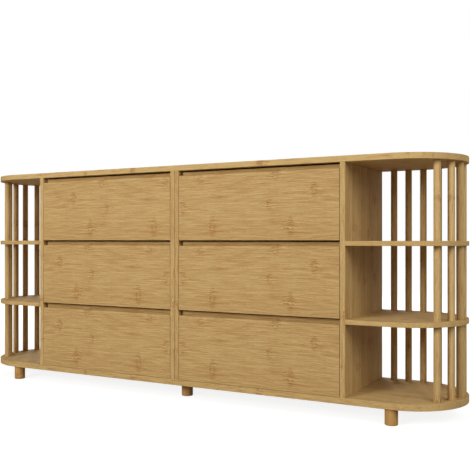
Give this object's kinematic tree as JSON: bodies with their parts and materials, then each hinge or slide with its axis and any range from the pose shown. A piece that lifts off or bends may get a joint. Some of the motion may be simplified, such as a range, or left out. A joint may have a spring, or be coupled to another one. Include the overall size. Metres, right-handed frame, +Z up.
{
  "type": "sideboard with shelves",
  "caption": "Long low bamboo sideboard with flush handleless drawers in the middle and open half-round shelf ends fenced by round bars, on short turned feet.",
  "frame": {"origin": "on the floor, under the middle of the seam between the two modules and midway between front and back", "axes": "+X to the right along the length as seen from the front, +Y towards the back, +Z up; drawers open along -Y"},
  "size_m": [1.8, 0.365, 0.77],
  "materials": {
    "bamboo_boards": "satin lacquer",
    "bamboo_panels": "satin lacquer",
    "bamboo_drawer_fronts": "satin lacquer",
    "bamboo_turned": "satin lacquer",
    "drawer_box_wood": "plain sanded",
    "back_panel_board": "matt",
    "runner_hardwood": "waxed",
    "dowel_beech": "plain",
    "zinc_plated_steel": "zinc plated"
  },
  "bodies": {
    "carcass": {"centre_front_foot": "bamboo_turned", "centre_rear_foot": "bamboo_turned", "foot_studs": "zinc_plated_steel", "left_back_panel": "back_panel_board", "left_base_board": "bamboo_boards", "left_drawer_runners": "runner_hardwood", "left_front_foot": "bamboo_turned", "left_inner_panel": "bamboo_panels", "left_lower_shelf": "bamboo_boards", "left_outer_panel": "bamboo_panels", "left_rear_foot": "bamboo_turned", "left_round_bars": "bamboo_turned", "left_top_board": "bamboo_boards", "left_upper_shelf": "bamboo_boards", "panel_dowels": "dowel_beech", "right_back_panel": "back_panel_board", "right_base_board": "bamboo_boards", "right_drawer_runners": "runner_hardwood", "right_front_foot": "bamboo_turned", "right_inner_panel": "bamboo_panels", "right_lower_shelf": "bamboo_boards", "right_outer_panel": "bamboo_panels", "right_rear_foot": "bamboo_turned", "right_round_bars": "bamboo_turned", "right_top_board": "bamboo_boards", "right_upper_shelf": "bamboo_boards", "seam_connectors": "zinc_plated_steel", "shelf_dowels": "dowel_beech"},
    "left_lower_drawer": {"left_lower_drawer_back": "drawer_box_wood", "left_lower_drawer_bottom": "drawer_box_wood", "left_lower_drawer_box_front": "bamboo_drawer_fronts", "left_lower_drawer_front": "bamboo_drawer_fronts", "left_lower_drawer_sides": "drawer_box_wood"},
    "left_middle_drawer": {"left_middle_drawer_back": "drawer_box_wood", "left_middle_drawer_bottom": "drawer_box_wood", "left_middle_drawer_box_front": "bamboo_drawer_fronts", "left_middle_drawer_front": "bamboo_drawer_fronts", "left_middle_drawer_sides": "drawer_box_wood"},
    "left_upper_drawer": {"left_upper_drawer_back": "drawer_box_wood", "left_upper_drawer_bottom": "drawer_box_wood", "left_upper_drawer_box_front": "bamboo_drawer_fronts", "left_upper_drawer_front": "bamboo_drawer_fronts", "left_upper_drawer_sides": "drawer_box_wood"},
    "right_lower_drawer": {"right_lower_drawer_back": "drawer_box_wood", "right_lower_drawer_bottom": "drawer_box_wood", "right_lower_drawer_box_front": "bamboo_drawer_fronts", "right_lower_drawer_front": "bamboo_drawer_fronts", "right_lower_drawer_sides": "drawer_box_wood"},
    "right_middle_drawer": {"right_middle_drawer_back": "drawer_box_wood", "right_middle_drawer_bottom": "drawer_box_wood", "right_middle_drawer_box_front": "bamboo_drawer_fronts", "right_middle_drawer_front": "bamboo_drawer_fronts", "right_middle_drawer_sides": "drawer_box_wood"},
    "right_upper_drawer": {"right_upper_drawer_back": "drawer_box_wood", "right_upper_drawer_bottom": "drawer_box_wood", "right_upper_drawer_box_front": "bamboo_drawer_fronts", "right_upper_drawer_front": "bamboo_drawer_fronts", "right_upper_drawer_sides": "drawer_box_wood"}
  },
  "joints": [
    {"name": "left_lower_drawer_slide", "type": "slide", "parent": "carcass", "child": "left_lower_drawer", "axis": [0, -1, 0], "range_m": [0, 0.24]},
    {"name": "left_middle_drawer_slide", "type": "slide", "parent": "carcass", "child": "left_middle_drawer", "axis": [0, -1, 0], "range_m": [0, 0.24]},
    {"name": "left_upper_drawer_slide", "type": "slide", "parent": "carcass", "child": "left_upper_drawer", "axis": [0, -1, 0], "range_m": [0, 0.24]},
    {"name": "right_lower_drawer_slide", "type": "slide", "parent": "carcass", "child": "right_lower_drawer", "axis": [0, -1, 0], "range_m": [0, 0.24]},
    {"name": "right_middle_drawer_slide", "type": "slide", "parent": "carcass", "child": "right_middle_drawer", "axis": [0, -1, 0], "range_m": [0, 0.24]},
    {"name": "right_upper_drawer_slide", "type": "slide", "parent": "carcass", "child": "right_upper_drawer", "axis": [0, -1, 0], "range_m": [0, 0.24]}
  ]
}
